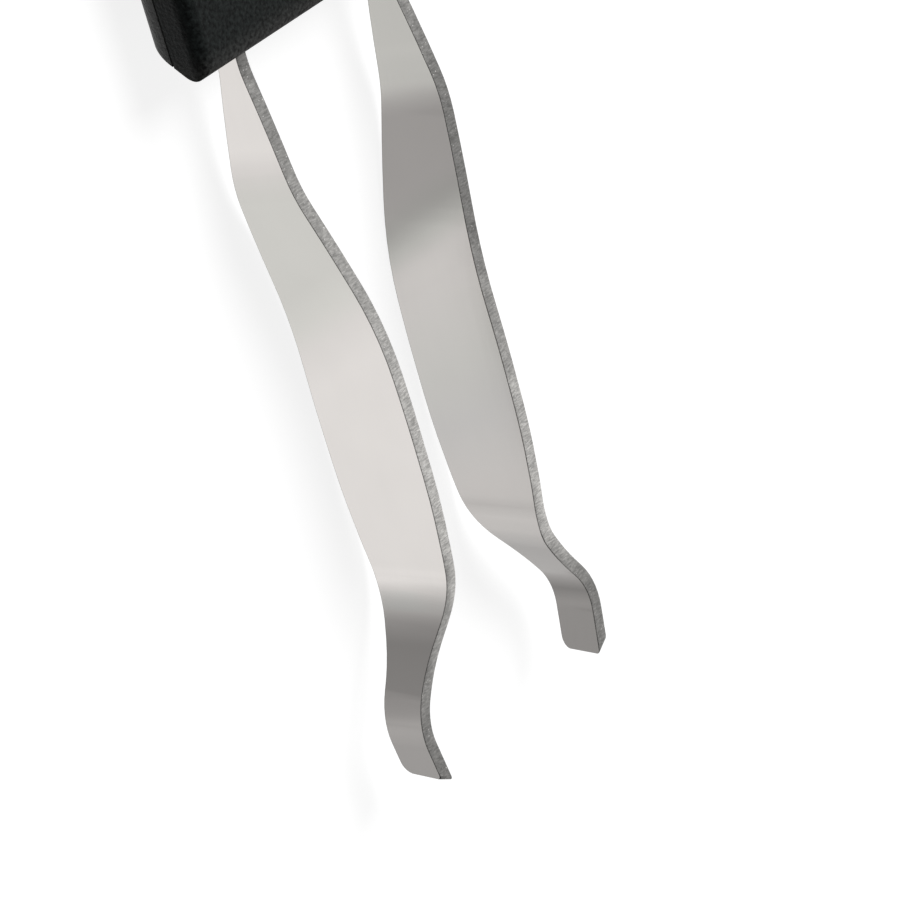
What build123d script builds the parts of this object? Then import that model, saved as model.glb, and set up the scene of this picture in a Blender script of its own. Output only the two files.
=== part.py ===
from build123d import *
from math import atan2, degrees
import os

# Key switch puller: one folded steel strip with two sprung arms, held in a flat two-part plastic handle
# Millimetres. The tool lies on its side: X is across the jaws, Y runs from the jaws to the handle, Z is up

# Overall
blade_length = 45.5            # bare length of the arms, from the jaw ends to the handle
handle_length = 34.5
strip_thickness = 0.8

# Folds of one arm, as half the spacing of the strip's middle line and the distance from the jaw ends
jaw_end_reach = 7.5
jaw_fold_reach = 8.06
jaw_fold_at = 3.85
jaw_fold_radius = 4.5
waist_fold_reach = 4.07
waist_fold_at = 10.2
waist_fold_radius = 6.5
shoulder_fold_reach = 4.22
shoulder_fold_at = 27.7
shoulder_fold_radius = 28.0
shank_fold_reach = 6.36
shank_fold_at = 37.1
shank_fold_radius = 10.0
bridge_reach = 5.6
bridge_depth = 18.0            # how far the strip runs into the handle before it crosses over
bridge_fold_radius = 2.5

# Width of one arm, which is cut to a leaf shape: narrow jaw, wide middle and a thin neck at the handle
jaw_width = 2.9
jaw_parallel_length = 5.4
leaf_width = 7.1
leaf_widest_at = 20.8
neck_width = 1.62
neck_length = 1.2              # parallel part of the neck that stands out of the handle
neck_blend = 6.0               # radius where the leaf runs into the neck
jaw_corner_above = 0.25
jaw_corner_below = 0.6
jaw_slant = 0.5                # how far a jaw's inner side stands out past its outer side
# The jaw widens into the leaf on a curve: share of the way to the widest place, and of the widening
widening = ((0.195, 0.26), (0.325, 0.57), (0.59, 0.88))

# Handle: two moulded shells of one depth that part in the strip's middle plane
handle_width = 20.4
shell_depth = 2.15
side_edge_radius = 0.9         # upper edges along the two long sides
end_edge_radius = 0.75         # upper edges along the two ends
end_wall = 1.15                # upright part of an end, under the upper face
end_lean = 2.24                # how far an end draws back below that, down to the lower face
end_bend_radius = 1.2          # where the upright part runs into the leaning part
end_rim_radius = 0.5           # lower edges along the two ends
rim_radius = 1.9               # lower edges along the two long sides
seam_relief = 0.12             # chamfer that makes the parting line a fine groove

# Pegs of the upper shell in sockets of the lower shell, and the groove that holds the strip
peg_diameter = 1.8
peg_inset = 3.6                # from the handle's ends to the peg's middle
peg_clearance = 0.05
peg_end_gap = 0.2
socket_floor = 0.9
groove_clearance = 0.05

# Places worked out from the sizes above
overall_length = blade_length + handle_length
handle_middle = blade_length + handle_length / 2
bridge_at = blade_length + bridge_depth
socket_depth = shell_depth - socket_floor
rest_drop = leaf_width / 2 - shell_depth
rest_span = overall_length - end_lean - leaf_widest_at
rest_tilt = degrees(atan2(rest_drop, rest_span))


def middle_line():
    """Line through the middle of the strip's thickness, from one jaw end round to the other."""
    jaw_slope = (jaw_fold_reach - jaw_end_reach) / jaw_fold_at
    spare = strip_thickness + jaw_slant
    spare_end = (jaw_end_reach - jaw_slope * spare, -spare)
    right_arm = [
        spare_end,
        (jaw_fold_reach, jaw_fold_at),
        (waist_fold_reach, waist_fold_at),
        (shoulder_fold_reach, shoulder_fold_at),
        (shank_fold_reach, shank_fold_at),
        (bridge_reach, bridge_at),
    ]
    left_arm = [(-reach, at) for reach, at in reversed(right_arm)]
    arm_radii = [
        jaw_fold_radius,
        waist_fold_radius,
        shoulder_fold_radius,
        shank_fold_radius,
        bridge_fold_radius,
    ]
    return FilletPolyline(*right_arm, *left_arm, radius=arm_radii + arm_radii[::-1])


def leaf_outline():
    """Width of the strip along its length, seen from the side, from the middle of the jaw onwards."""
    jaw_half = jaw_width / 2
    leaf_half = leaf_width / 2
    neck_half = neck_width / 2
    jaw_middle = jaw_parallel_length / 2
    neck_start = blade_length - neck_length
    strip_end = bridge_at + strip_thickness
    run = leaf_widest_at - jaw_parallel_length
    rise = leaf_half - jaw_half
    curve = [(jaw_parallel_length + way * run, jaw_half + share * rise) for way, share in widening]
    along = (1, 0)
    edges = [
        Line((jaw_middle, 0), (jaw_middle, jaw_half)),
        Line((jaw_middle, jaw_half), (jaw_parallel_length, jaw_half)),
        Spline((jaw_parallel_length, jaw_half), *curve, (leaf_widest_at, leaf_half), tangents=[along, along]),
        TangentArc((leaf_widest_at, leaf_half), (neck_start, neck_half), tangent=along),
        Line((neck_start, neck_half), (strip_end, neck_half)),
        Line((strip_end, neck_half), (strip_end, 0)),
        Line((strip_end, 0), (jaw_middle, 0)),
    ]
    half = make_face(edges)
    half = fillet(half.vertices().sort_by_distance((neck_start, neck_half))[0], neck_blend)
    return half + mirror(half, about=Plane.XZ)


def jaw_end():
    """Block that the right jaw fills: its end slants towards the jaw's inner side and has two rounded corners."""
    jaw_half = jaw_width / 2
    outer_side = jaw_end_reach + strip_thickness / 2
    slant = (-strip_thickness, -jaw_slant, 0)
    outline = Pos(jaw_parallel_length / 2 + jaw_slant, 0) * Rectangle(jaw_parallel_length, jaw_width)
    block = extrude(Plane.YZ.offset(outer_side + strip_thickness) * outline, amount=4 * strip_thickness, dir=slant)
    for height, radius in ((jaw_half, jaw_corner_above), (-jaw_half, jaw_corner_below)):
        corner = block.edges().sort_by_distance((outer_side, 0, height))[0]
        block = fillet(corner, radius)
    return block


def ribbon(thickness, depth):
    """Band of one thickness along the strip's middle line, standing on edge about the middle plane."""
    return extrude(trace(middle_line(), thickness), amount=depth / 2, both=True)


def make_tongs():
    """Steel strip cut to the leaf shape and folded into a pair of arms."""
    band = ribbon(strip_thickness, 2 * leaf_width)
    arms = band & extrude(Plane.YZ * leaf_outline(), amount=handle_width, both=True)
    right_end = jaw_end()
    left_end = mirror(right_end, about=Plane.YZ)
    return arms + (band & right_end) + (band & left_end)


def handle_bar():
    """Both shells as one flat bar with rounded long edges, whose ends draw back under the upper face."""
    cross = Rectangle(handle_width, 2 * shell_depth)
    cross = fillet(cross.vertices().group_by(Axis.Y)[-1], side_edge_radius)
    cross = fillet(cross.vertices().group_by(Axis.Y)[0], rim_radius)
    upper_half = handle_length / 2
    lower_half = upper_half - end_lean
    bend_height = shell_depth - end_wall
    near_end = [(-upper_half, shell_depth), (-upper_half, bend_height), (-lower_half, -shell_depth)]
    far_end = [(-along, height) for along, height in reversed(near_end)]
    side = make_face(Polyline(*near_end, *far_end, close=True))
    end_radii = [end_edge_radius, end_bend_radius, end_rim_radius]
    for place, radius in zip(near_end + far_end, end_radii + end_radii[::-1]):
        side = fillet(side.vertices().sort_by_distance(place)[0], radius)
    bar = extrude(Plane.XZ * cross, amount=handle_length, both=True)
    bar &= extrude(Plane.YZ * side, amount=handle_width, both=True)
    return Pos(0, handle_middle, 0) * bar


def shell_room(side):
    """Space of one shell: above the parting plane for 1, below it for -1."""
    room_depth = 2 * shell_depth
    return Pos(0, handle_middle, side * room_depth / 2) * Box(2 * handle_width, 2 * handle_length, room_depth)


def peg_places():
    """Middles of the four pegs, beside the strip's shanks and near the handle's ends."""
    shank_side = shank_fold_reach + strip_thickness / 2
    across = (shank_side + handle_width / 2) / 2
    near = blade_length + peg_inset
    far = overall_length - peg_inset
    return [Pos(x, y) for x in (-across, across) for y in (near, far)]


def strip_groove():
    """Room for the strip inside the handle."""
    return ribbon(strip_thickness + 2 * groove_clearance, neck_width + 2 * groove_clearance)


def make_upper_shell():
    """Upper half of the bar, with pegs."""
    shell = handle_bar() & shell_room(1)
    shell -= strip_groove()
    peg_length = socket_depth - peg_end_gap
    for place in peg_places():
        shell += place * Cylinder(peg_diameter / 2, peg_length, align=(Align.CENTER, Align.CENTER, Align.MAX))
    return shell


def make_lower_shell():
    """Lower half of the bar, with a relief along the parting line and sockets for the pegs."""
    shell = handle_bar() & shell_room(-1)
    shell = chamfer(shell.faces().sort_by(Axis.Z)[-1].edges(), seam_relief)
    shell -= strip_groove()
    socket_radius = peg_diameter / 2 + peg_clearance
    for place in peg_places():
        shell -= place * Cylinder(socket_radius, socket_depth, align=(Align.CENTER, Align.CENTER, Align.MAX))
    return shell


# The tool comes to rest on the widest part of its arms and on the far end of its handle
nodes = {
    "tongs": make_tongs(),
    "handle_upper_shell": make_upper_shell(),
    "handle_lower_shell": make_lower_shell(),
}
tipped = {name: Rot(-rest_tilt, 0, 0) * shape for name, shape in nodes.items()}
room = Compound(list(tipped.values())).bounding_box()
lay_down = Pos(-room.center().X, -room.center().Y, -room.min.Z)
os.makedirs("parts", exist_ok=True)
for name, shape in tipped.items():
    export_step(lay_down * shape, f"parts/{name}.step")
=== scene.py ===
import bpy
from math import radians
from mathutils import Matrix, Vector


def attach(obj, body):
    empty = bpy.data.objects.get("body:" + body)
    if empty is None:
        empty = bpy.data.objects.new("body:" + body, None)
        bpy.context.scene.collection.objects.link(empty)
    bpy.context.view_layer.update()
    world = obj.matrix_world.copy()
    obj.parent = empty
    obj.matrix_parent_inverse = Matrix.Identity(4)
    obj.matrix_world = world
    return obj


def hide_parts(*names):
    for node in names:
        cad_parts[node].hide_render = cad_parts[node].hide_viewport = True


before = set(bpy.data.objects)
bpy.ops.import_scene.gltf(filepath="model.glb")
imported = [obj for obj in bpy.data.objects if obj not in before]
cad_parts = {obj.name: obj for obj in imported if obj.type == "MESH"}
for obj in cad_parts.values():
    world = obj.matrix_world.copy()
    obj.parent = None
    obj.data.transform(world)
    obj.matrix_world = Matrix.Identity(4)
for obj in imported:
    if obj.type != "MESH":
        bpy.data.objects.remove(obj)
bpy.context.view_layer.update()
bpy.ops.object.select_all(action="DESELECT")

# Folded strip: one length of spring steel, blanked to a leaf shape and folded into two sprung arms.
# Its rolled faces are satin bright, and the sheared edge all round is dull and streaked across.
# The punch leaves the rim slightly rounded, so the sharp solid is copied and its rim is eased.
MM = 0.001
TO_MILLIMETRES = Matrix.Scale(1 / MM, 4)
TO_METRES = Matrix.Scale(MM, 4)
MERGE_GAP = 0.0005
FLAT_ANGLE = radians(0.3)
SHARP_RIM = radians(50)
SMOOTH_FOLD = radians(40)
RIM_WIDTH = 0.065
RIM_STEPS = 2
FACE_AREA_WEIGHT = 100

strip_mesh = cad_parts["tongs"].data.copy()
strip_mesh.name = "folded_strip"
strip_mesh.materials.clear()
strip_mesh.transform(TO_MILLIMETRES)
strip = bpy.data.objects.new("folded_strip", strip_mesh)
bpy.context.collection.objects.link(strip)
bpy.context.view_layer.objects.active = strip
strip.select_set(True)
bpy.ops.object.mode_set(mode="EDIT")
bpy.ops.mesh.select_mode(type="EDGE")
bpy.ops.mesh.select_all(action="SELECT")
bpy.ops.mesh.customdata_custom_splitnormals_clear()
bpy.ops.mesh.remove_doubles(threshold=MERGE_GAP)
bpy.ops.mesh.dissolve_limited(angle_limit=FLAT_ANGLE)
bpy.ops.mesh.select_all(action="DESELECT")
bpy.ops.mesh.edges_select_sharp(sharpness=SHARP_RIM)
bpy.ops.mesh.bevel(offset=RIM_WIDTH, segments=RIM_STEPS, affect="EDGES")
bpy.ops.mesh.select_all(action="SELECT")
bpy.ops.mesh.remove_doubles(threshold=MERGE_GAP)
bpy.ops.mesh.dissolve_degenerate(threshold=MERGE_GAP)
bpy.ops.object.mode_set(mode="OBJECT")
strip_mesh.transform(TO_METRES)
bpy.ops.object.shade_smooth_by_angle(angle=SMOOTH_FOLD)
even_faces = strip.modifiers.new("even_faces", "WEIGHTED_NORMAL")
even_faces.keep_sharp = True
even_faces.weight = FACE_AREA_WEIGHT
bpy.ops.object.modifier_apply(modifier=even_faces.name)


def add(tree, kind, settings=None, inputs=None):
    """Add a shader node, set its options, and fill or link its sockets."""
    node = tree.nodes.new(kind)
    for name, value in (settings or {}).items():
        setattr(node, name, value)
    for name, value in (inputs or {}).items():
        if isinstance(value, bpy.types.NodeSocket):
            tree.links.new(value, node.inputs[name])
        else:
            node.inputs[name].default_value = value
    return node


def calculate(tree, operation, first, second=0.0):
    """Result of one sum on two values."""
    return add(tree, "ShaderNodeMath", {"operation": operation}, {0: first, 1: second}).outputs["Value"]


def split(tree, vector):
    """The X, Y and Z of a vector."""
    return add(tree, "ShaderNodeSeparateXYZ", inputs={"Vector": vector}).outputs


def fade(tree, value, start, end, low=0.0, high=1.0, curve="LINEAR"):
    """Value that goes from low to high between a start and an end."""
    span = {"Value": value, "From Min": start, "From Max": end, "To Min": low, "To Max": high}
    return add(tree, "ShaderNodeMapRange", {"interpolation_type": curve}, span).outputs["Result"]


def tone_ramp(tree, factor, stops):
    """Colour ramp from pairs of place and tone, which is a grey or a colour."""
    ramp = add(tree, "ShaderNodeValToRGB", inputs={"Fac": factor})
    elements = ramp.color_ramp.elements
    for place, tone in stops[len(elements):]:
        elements.new(place)
    for element, (place, tone) in zip(elements, stops):
        element.position = place
        colour = tone if isinstance(tone, tuple) else (tone, tone, tone)
        element.color = (*colour, 1)
    return ramp.outputs["Color"]


FIRST_COLOUR = 6
SECOND_COLOUR = 7
MIXED_COLOUR = 2


def mix(tree, factor, first, second, blend="MIX"):
    """Mix of two colours, from the first to the second."""
    settings = {"data_type": "RGBA", "blend_type": blend}
    colours = {"Factor": factor, FIRST_COLOUR: first, SECOND_COLOUR: second}
    return add(tree, "ShaderNodeMix", settings, colours).outputs[MIXED_COLOUR]


def multiply(tree, first, second):
    """Product of two colours."""
    return mix(tree, 1.0, first, second, "MULTIPLY")


def millimetres(tree, stretch=(1, 1, 1)):
    """Object coordinates in millimetres, stretched along each axis."""
    place = add(tree, "ShaderNodeTexCoord").outputs["Object"]
    scale = [share / MM for share in stretch]
    return add(tree, "ShaderNodeMapping", inputs={"Vector": place, "Scale": scale}).outputs["Vector"]


def noise(tree, place, detail, scale=1.0, roughness=0.5):
    """Cloudy pattern of values from 0 to 1."""
    pattern = {"Vector": place, "Scale": scale, "Detail": detail, "Roughness": roughness}
    return add(tree, "ShaderNodeTexNoise", inputs=pattern).outputs["Fac"]


def relief(tree, height, strength, depth):
    """Normal of a fine relief."""
    heights = {"Height": height, "Strength": strength, "Distance": depth}
    return add(tree, "ShaderNodeBump", inputs=heights).outputs["Normal"]


def new_material(name):
    """Material with its Principled surface."""
    material = bpy.data.materials.new(name)
    material.use_nodes = True
    tree = material.node_tree
    return material, tree, tree.nodes["Principled BSDF"]


COLOUR = "NodeSocketColor"
VALUE = "NodeSocketFloat"


def new_group(name, inputs, outputs):
    """Empty node group with named inputs and outputs."""
    group = bpy.data.node_groups.new(name, "ShaderNodeTree")
    for socket, kind in inputs.items():
        group.interface.new_socket(socket, in_out="INPUT", socket_type=kind)
    for socket, kind in outputs.items():
        group.interface.new_socket(socket, in_out="OUTPUT", socket_type=kind)
    return group


def use(tree, group, inputs=None):
    """Place a node group, with its own values, and give its outputs."""
    return add(tree, "ShaderNodeGroup", {"node_tree": group}, inputs).outputs


REST_TILT = (radians(1.408), 0, 0)
TOOL_SHIFT = (0, 39.807, -3.114)


def place_on_tool():
    """Node group: millimetres along the tool's own axes, from its jaw ends and its middle plane."""
    group = new_group("place_on_tool", {}, {"Along": VALUE, "Height": VALUE})
    place = add(group, "ShaderNodeTexCoord").outputs["Object"]
    turned = {"Vector": place, "Location": TOOL_SHIFT, "Rotation": REST_TILT, "Scale": [1 / MM] * 3}
    axes = split(group, add(group, "ShaderNodeMapping", inputs=turned).outputs["Vector"])
    add(group, "NodeGroupOutput", inputs={"Along": axes["Y"], "Height": axes["Z"]})
    return group


JAW_END_Y = -39.7
HANDLE_END_Y = 5.8
BARE_LENGTH = HANDLE_END_Y - JAW_END_Y


def share_of_arm():
    """Node group: share of the arms' bare length, from the jaw ends to the handle."""
    group = new_group("share_of_arm", {}, {"Share": VALUE})
    along = split(group, millimetres(group))["Y"]
    add(group, "NodeGroupOutput", inputs={"Share": fade(group, along, JAW_END_Y, HANDLE_END_Y)})
    return group


# Painted shade: a dark line on the rolled side of the eased rim.
RIM_LEAN = [(0.04, 0.0), (0.2, 1.0), (0.76, 1.0), (0.92, 0.0)]
RIM_PAINTED_SHADE = 0.12
ROLLED_SIDE_FROM = 0.5
ROLLED_SIDE_TO = 0.6


def rim_shade_line():
    """Node group: tone of a painted dark line, painted shade along the rolled side of the eased rim."""
    group = new_group("rim_shade_line", {}, {"Tone": COLOUR})
    facing = split(group, add(group, "ShaderNodeTexCoord").outputs["Normal"])
    between = tone_ramp(group, calculate(group, "ABSOLUTE", facing["Z"]), RIM_LEAN)
    sideways = calculate(group, "ABSOLUTE", facing["X"])
    rolled_side = fade(group, sideways, ROLLED_SIDE_FROM, ROLLED_SIDE_TO)
    on_rim = calculate(group, "MULTIPLY", between, rolled_side)
    add(group, "NodeGroupOutput", inputs={"Tone": fade(group, on_rim, 0.0, 1.0, 1.0, RIM_PAINTED_SHADE)})
    return group


tool_place = place_on_tool()
arm_share = share_of_arm()
painted_rim_shade = rim_shade_line()

# Rolled faces. Each pair below is a share of the arms' bare length and the tone or the lean there.
# The tones are painted reflection and shade: dark jaws, bright bands at the folds, and a duller inner side
# for the shade between the arms.
ROLLED_COLOUR = (0.795, 0.762, 0.736, 1)
# Painted reflection: the jaws darker, the folds in bright bands.
PAINTED_FOLD_REFLECTIONS = [
    (0.05, 0.52),
    (0.078, 0.47),
    (0.11, 0.95),
    (0.17, 0.87),
    (0.208, 1.31),
    (0.23, 1.29),
    (0.25, 0.98),
    (0.28, 1.0),
    (0.795, 1.0),
    (0.8176, 0.94),
    (0.832, 0.885),
    (0.85, 0.92),
    (0.87, 1.0),
]
# Painted reflection on the outer faces, a little darker over the shoulder fold.
OUTER_PAINTED_REFLECTION = [
    (0.59, 1.0),
    (0.63, (0.96, 0.985, 0.965)),
    (0.785, (0.96, 0.985, 0.965)),
    (0.8, (0.912, 0.936, 0.917)),
    (0.815, (0.911, 0.927, 0.914)),
    (0.827, (0.935, 0.946, 0.938)),
    (0.84, 0.99),
    (0.855, 1.015),
    (0.88, 1.0),
]
# Painted shade on the inner faces, duller all along than the outer faces.
INNER_PAINTED_SHADE = [
    (0.286, 0.73),
    (0.374, (0.702, 0.715, 0.72)),
    (0.45, (0.718, 0.736, 0.728)),
    (0.571, 0.775),
    (0.604, 0.845),
    (0.632, (0.835, 0.86, 0.845)),
    (0.66, (0.775, 0.795, 0.782)),
    (0.7, 0.82),
    (0.79, 0.82),
    (0.83, (0.745, 0.765, 0.75)),
    (0.88, (0.675, 0.692, 0.678)),
]
FOLD_SLANT = [(0.26, 0.1), (0.45, 0.58), (0.7, 0.58), (0.78, 0.17)]
SLANT_PIVOT = -0.45
FOLD_LEAN = [
    (0.046, 0.356),
    (0.113, 1.032),
    (0.187, 1.032),
    (0.264, 0.491),
    (0.54, 0.491),
    (0.671, 0.278),
    (0.786, 0.278),
    (0.841, 0.529),
]
INNER_SIGN = -1.0
OUTER_SIGN = 1.0
CLOUDS_PER_MM = 0.22
CLOUD_DETAIL = 2.0
CLOUD_TONES = [(0.3, 0.975), (0.7, 1.0)]
ROLLING_LINES_PER_MM = (3, 0.15, 6)
ROLLING_DETAIL = 3.0
ROLLED_ROUGHNESS_LEAST = 0.19
ROLLED_ROUGHNESS_MOST = 0.25


def rolled_steel():
    """Satin face as it left the rolls, with painted reflection along the arms, painted shade on their inner
    side, and shade that slants over the folds.
    """
    material, tree, surface = new_material("rolled_steel")
    share = use(tree, arm_share)["Share"]
    above_pivot = calculate(tree, "SUBTRACT", use(tree, tool_place)["Height"], SLANT_PIVOT)
    off_middle = calculate(tree, "MULTIPLY", tone_ramp(tree, share, FOLD_SLANT), above_pivot)
    slanted = calculate(tree, "SUBTRACT", share, calculate(tree, "DIVIDE", off_middle, BARE_LENGTH))
    here = add(tree, "ShaderNodeTexCoord").outputs
    facing = split(tree, here["Normal"])["X"]
    outward = calculate(tree, "MULTIPLY", facing, split(tree, here["Object"])["X"])
    outer = calculate(tree, "GREATER_THAN", outward, 0.0)

    # Painted reflection along the arms, on a share slanted over the folds.
    painted_reflections = tone_ramp(tree, slanted, PAINTED_FOLD_REFLECTIONS)
    clouds = tone_ramp(tree, noise(tree, millimetres(tree), CLOUD_DETAIL, CLOUDS_PER_MM), CLOUD_TONES)
    # Painted shade on the inner side and painted reflection on the outer side.
    side = mix(tree, outer, tone_ramp(tree, slanted, INNER_PAINTED_SHADE), tone_ramp(tree, slanted, OUTER_PAINTED_REFLECTION))
    # Painted shade along the rim.
    rim = use(tree, painted_rim_shade)["Tone"]
    tone = multiply(tree, multiply(tree, painted_reflections, clouds), multiply(tree, side, rim))
    tree.links.new(multiply(tree, tone, ROLLED_COLOUR), surface.inputs["Base Color"])

    slanted_lean = tone_ramp(tree, slanted, FOLD_LEAN)
    lean = calculate(tree, "SUBTRACT", slanted_lean, tone_ramp(tree, share, FOLD_LEAN))
    side_sign = fade(tree, outer, 0.0, 1.0, INNER_SIGN, OUTER_SIGN)
    turn = add(tree, "ShaderNodeCombineXYZ", inputs={"Y": calculate(tree, "MULTIPLY", lean, side_sign)})
    straight = add(tree, "ShaderNodeNewGeometry").outputs["Normal"]
    leant = add(tree, "ShaderNodeVectorMath", {"operation": "ADD"}, {0: straight, 1: turn.outputs["Vector"]})
    turned = add(tree, "ShaderNodeVectorMath", {"operation": "NORMALIZE"}, {0: leant.outputs["Vector"]})
    tree.links.new(turned.outputs["Vector"], surface.inputs["Normal"])

    lines = noise(tree, millimetres(tree, ROLLING_LINES_PER_MM), ROLLING_DETAIL)
    roughness = fade(tree, lines, 0.0, 1.0, ROLLED_ROUGHNESS_LEAST, ROLLED_ROUGHNESS_MOST)
    tree.links.new(roughness, surface.inputs["Roughness"])
    surface.inputs["Metallic"].default_value = 1.0
    return material


# Sheared edges. The tone along each arm is painted light and shade, again given by the share of its bare
# length: dark at the jaws and towards the handle, brightest midway.
SHEARED_COLOUR = (0.95, 0.935, 0.905, 1)
SHEARED_ROUGHNESS = 0.6
# Painted light and shade along the left and the right edge.
LEFT_EDGE_PAINTED_LIGHT = [
    (0.08, 0.5),
    (0.25, 0.9),
    (0.33, 1.05),
    (0.46, 1.03),
    (0.6, 0.88),
    (0.68, 0.75),
    (0.78, 0.65),
    (0.9, 0.42),
]
RIGHT_EDGE_PAINTED_LIGHT = [
    (0.08, 0.5),
    (0.24, 1.03),
    (0.42, 0.95),
    (0.5, 0.7),
    (0.59, 0.63),
    (0.65, 0.45),
    (0.8, 0.36),
    (0.9, 0.45),
]
STREAKS_PER_MM = (2.6, 8, 8)
STREAK_DETAIL = 5.0
STREAK_COARSENESS = 0.75
STREAK_TONES = [(0.37, 0.58), (0.63, 1.08)]
TORN_STRENGTH = 0.3
TORN_DEPTH = 0.02 * MM
PATCHES_PER_MM = 0.8
PATCH_DETAIL = 3.0
PATCH_TONES = [(0.34, 0.85), (0.66, 1.05)]
# Painted glints: small near-white spots mixed into the edge's colour.
PAINTED_GLINT_COLOUR = (0.97, 0.96, 0.94, 1)
PAINTED_GLINTS_PER_MM = 8.0
PAINTED_GLINT_DETAIL = 1.0
PAINTED_GLINT_LEVELS = [(0.7, 0.0), (0.77, 1.0)]


def sheared_steel():
    """Dull torn edge with fine streaks across the thickness, painted light and shade along each arm, and a
    few painted glints.
    """
    material, tree, surface = new_material("sheared_steel")
    place = millimetres(tree)
    on_right = calculate(tree, "GREATER_THAN", split(tree, place)["X"], 0.0)
    share = use(tree, arm_share)["Share"]
    # Painted light and shade along each arm.
    arm = mix(tree, on_right, tone_ramp(tree, share, LEFT_EDGE_PAINTED_LIGHT), tone_ramp(tree, share, RIGHT_EDGE_PAINTED_LIGHT))
    # Painted shade along the rim.
    rim = use(tree, painted_rim_shade)["Tone"]
    torn = noise(tree, millimetres(tree, STREAKS_PER_MM), STREAK_DETAIL, roughness=STREAK_COARSENESS)
    streaks = tone_ramp(tree, torn, STREAK_TONES)
    patches = tone_ramp(tree, noise(tree, place, PATCH_DETAIL, PATCHES_PER_MM), PATCH_TONES)
    # Painted glints.
    painted_glints = tone_ramp(tree, noise(tree, place, PAINTED_GLINT_DETAIL, PAINTED_GLINTS_PER_MM), PAINTED_GLINT_LEVELS)
    tone = multiply(tree, multiply(tree, streaks, patches), multiply(tree, arm, rim))
    dull = multiply(tree, tone, SHEARED_COLOUR)
    tree.links.new(mix(tree, painted_glints, dull, PAINTED_GLINT_COLOUR), surface.inputs["Base Color"])
    tree.links.new(relief(tree, torn, TORN_STRENGTH, TORN_DEPTH), surface.inputs["Normal"])
    surface.inputs["Metallic"].default_value = 1.0
    surface.inputs["Roughness"].default_value = SHEARED_ROUGHNESS
    return material


ROLLED = 0
SHEARED = 1
EDGE_LEAN = 0.6
strip_mesh.materials.append(rolled_steel())
strip_mesh.materials.append(sheared_steel())
for face in strip_mesh.polygons:
    face.material_index = SHEARED if abs(face.normal.x) < EDGE_LEAN else ROLLED
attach(strip, "root")
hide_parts("tongs")

# Handle shells: two flat mouldings in black ABS that close on the strip, with pegs that press into sockets.
# The mould is spark finished, so every outer face has the same fine matte grain.
# The plastic is painted a little paler along the handle's ends and just below the seam, as painted light on
# the end edge and the lower rim.
# The lower shell's plastic is painted paler all over and given more shine, as painted light from below.
UPPER_COLOUR = (0.0130, 0.0164, 0.0158, 1)
UPPER_SHINE = 0.14
# The lower shell is the same plastic, painted paler and given more shine, as painted light from below.
LOWER_SHELL_PAINTED_LIGHT_COLOUR = (0.023, 0.026, 0.0205, 1)
LOWER_SHINE = 0.37
PLASTIC_ROUGHNESS = 0.5
GRAIN_PER_MM = 4.5
GRAIN_DETAIL = 3.0
GRAIN_TONES = [(0.35, 0.2), (0.65, 1.15)]
GRAIN_STRENGTH = 1.0
GRAIN_DEPTH = 0.06 * MM
# Painted light: the plastic is paler near the handle's ends and just below the seam.
PAINTED_LIGHT_COLOUR = (0.046, 0.046, 0.044, 1)
LIT_END_REACH = 1.7
SEAM_REACH = 1.5
HANDLE_MIDDLE_ALONG = 62.75
HANDLE_HALF = 17.25


def spark_finish_and_painted_light():
    """Node group: colour and grain of the spark-finished plastic, with painted light at the handle's ends
    and just below the seam.
    """
    inputs = {"Colour": COLOUR, "Along": VALUE, "Height": VALUE}
    group = new_group("spark_finish_and_painted_light", inputs, {"Colour": COLOUR, "Grain": VALUE})
    given = add(group, "NodeGroupInput").outputs
    from_middle = calculate(group, "SUBTRACT", given["Along"], HANDLE_MIDDLE_ALONG)
    off_middle = calculate(group, "ABSOLUTE", from_middle)
    at_ends = fade(group, off_middle, HANDLE_HALF - LIT_END_REACH, HANDLE_HALF, curve="SMOOTHSTEP")
    to_seam = fade(group, given["Height"], -SEAM_REACH, 0.0)
    below_seam = calculate(group, "LESS_THAN", given["Height"], 0.0)
    at_seam = calculate(group, "MULTIPLY", to_seam, below_seam)
    # Painted light at the ends and below the seam.
    tint = mix(group, calculate(group, "MAXIMUM", at_ends, at_seam), given["Colour"], PAINTED_LIGHT_COLOUR)
    grain = noise(group, millimetres(group), GRAIN_DETAIL, GRAIN_PER_MM)
    colour = multiply(group, tone_ramp(group, grain, GRAIN_TONES), tint)
    add(group, "NodeGroupOutput", inputs={"Colour": colour, "Grain": grain})
    return group


grain_and_painted_light = spark_finish_and_painted_light()


def grained_plastic(name, colour, shine):
    """Black plastic with a spark-finished surface, in one shell's colour and shine."""
    material, tree, surface = new_material(name)
    place = use(tree, tool_place)
    grain_and_light_inputs = {"Colour": colour, "Along": place["Along"], "Height": place["Height"]}
    grain_and_light = use(tree, grain_and_painted_light, grain_and_light_inputs)
    tree.links.new(grain_and_light["Colour"], surface.inputs["Base Color"])
    tree.links.new(relief(tree, grain_and_light["Grain"], GRAIN_STRENGTH, GRAIN_DEPTH), surface.inputs["Normal"])
    surface.inputs["Roughness"].default_value = PLASTIC_ROUGHNESS
    surface.inputs["Specular IOR Level"].default_value = shine
    return material


upper_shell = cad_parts["handle_upper_shell"]
upper_shell.material_slots[0].material = grained_plastic("grained_black_plastic", UPPER_COLOUR, UPPER_SHINE)
lower_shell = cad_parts["handle_lower_shell"]
# Lower shell: the plastic painted paler, as painted light from below.
lower_shell.material_slots[0].material = grained_plastic("lower_shell_painted_lighter_plastic", LOWER_SHELL_PAINTED_LIGHT_COLOUR, LOWER_SHINE)

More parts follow.
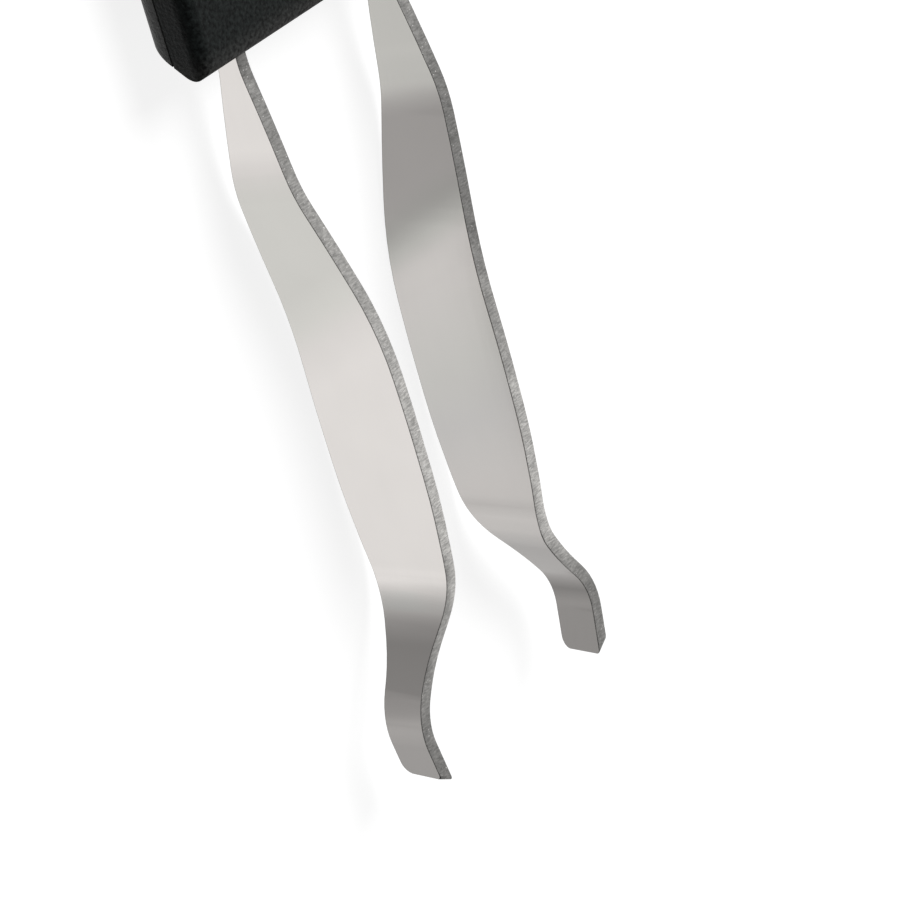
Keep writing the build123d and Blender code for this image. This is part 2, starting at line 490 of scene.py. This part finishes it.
# Table top, light and camera: a plain white sweep under soft light, seen from above the jaws' left side.
# The light comes off a pale surround that is brighter low down and to the right, and from one soft lamp.
# The steel mirrors that surround alone, so the table top is hidden from its reflections.
TABLE_SIZE = 4.0
TABLE_GREY = (0.3, 0.3, 0.3, 1)
TABLE_ROUGHNESS = 0.9
TABLE_LIFT = 0.85
WHITE = (1, 1, 1, 1)
bpy.ops.mesh.primitive_plane_add(size=TABLE_SIZE, location=(0, 0, 0))
floor = bpy.context.object
floor.name = "table_top"
floor.visible_glossy = False
floor_material, tree, surface = new_material("white_table")
surface.inputs["Base Color"].default_value = TABLE_GREY
surface.inputs["Roughness"].default_value = TABLE_ROUGHNESS
surface.inputs["Specular IOR Level"].default_value = 0.0
surface.inputs["Emission Color"].default_value = WHITE
on_camera = add(tree, "ShaderNodeLightPath").outputs["Is Camera Ray"]
lift = calculate(tree, "MULTIPLY", on_camera, TABLE_LIFT)
tree.links.new(lift, surface.inputs["Emission Strength"])
floor.data.materials.append(floor_material)

LOW_SURROUND = [
    (0.0, 0.5),
    (0.127, 0.7),
    (0.167, 0.74),
    (0.199, 0.84),
    (0.259, 0.925),
    (0.287, 1.0),
    (0.342, 1.0),
    (0.367, 0.92),
    (0.402, 0.68),
    (0.4285, 0.565),
    (0.5, 0.44),
    (0.602, 0.33),
    (0.677, 0.27),
]
HIGH_SURROUND = [(0.4, 0.08), (0.635, 0.1), (0.79, 0.32), (0.88, 0.6), (0.975, 1.0)]
BRIGHT_SIDE = (0.8, -0.6, 0)
HORIZON_FROM = -0.4
HORIZON_TO = 0.0
world = bpy.data.worlds.new("studio")
bpy.context.scene.world = world
world.use_nodes = True
tree = world.node_tree
tree.nodes.clear()
direction = add(tree, "ShaderNodeTexCoord").outputs["Generated"]
lengthways = fade(tree, split(tree, direction)["Y"], -1.0, 1.0)
below = tone_ramp(tree, lengthways, LOW_SURROUND)
towards = add(tree, "ShaderNodeVectorMath", {"operation": "DOT_PRODUCT"}, {0: direction, 1: BRIGHT_SIDE})
sideways = fade(tree, towards.outputs["Value"], -1.0, 1.0)
above = tone_ramp(tree, sideways, HIGH_SURROUND)
height = fade(tree, split(tree, direction)["Z"], HORIZON_FROM, HORIZON_TO, curve="SMOOTHSTEP")
surround = mix(tree, height, below, above)
on_camera = add(tree, "ShaderNodeLightPath").outputs["Is Camera Ray"]
seen = mix(tree, on_camera, surround, WHITE)
background = add(tree, "ShaderNodeBackground", inputs={"Color": seen})
add(tree, "ShaderNodeOutputWorld", inputs={"Surface": background.outputs["Background"]})

LAMP_PLACE = (0.2, 0.4, 0.5)
LAMP_SIZE = 0.4
LAMP_POWER = 4.0
bpy.ops.object.light_add(type="AREA", location=LAMP_PLACE)
key = bpy.context.object
key.name = "soft_key"
key.data.shape = "DISK"
key.data.size = LAMP_SIZE
key.data.energy = LAMP_POWER
key.rotation_euler = (-key.location).to_track_quat("-Z", "Y").to_euler()

CAMERA_PLACE = Vector((-0.1532282, 0.0891951, 0.1673268))
CAMERA_RIGHT = Vector((0.6224679, -0.2325609, 0.7472946))
CAMERA_UP = Vector((0.4851164, 0.8639308, -0.1352249))
CAMERA_LENS = 175.509
CAMERA_SENSOR = 36.0
CAMERA_NEAR = 0.01
CAMERA_FAR = 10.0
camera_data = bpy.data.cameras.new("photo_camera")
camera_data.lens = CAMERA_LENS
camera_data.sensor_width = CAMERA_SENSOR
camera_data.clip_start = CAMERA_NEAR
camera_data.clip_end = CAMERA_FAR
camera = bpy.data.objects.new("photo_camera", camera_data)
bpy.context.collection.objects.link(camera)
axes = Matrix((CAMERA_RIGHT, CAMERA_UP, CAMERA_RIGHT.cross(CAMERA_UP))).transposed()
camera.matrix_world = Matrix.Translation(CAMERA_PLACE) @ axes.to_4x4()
bpy.context.scene.camera = camera
bpy.context.scene.view_settings.view_transform = "Standard"
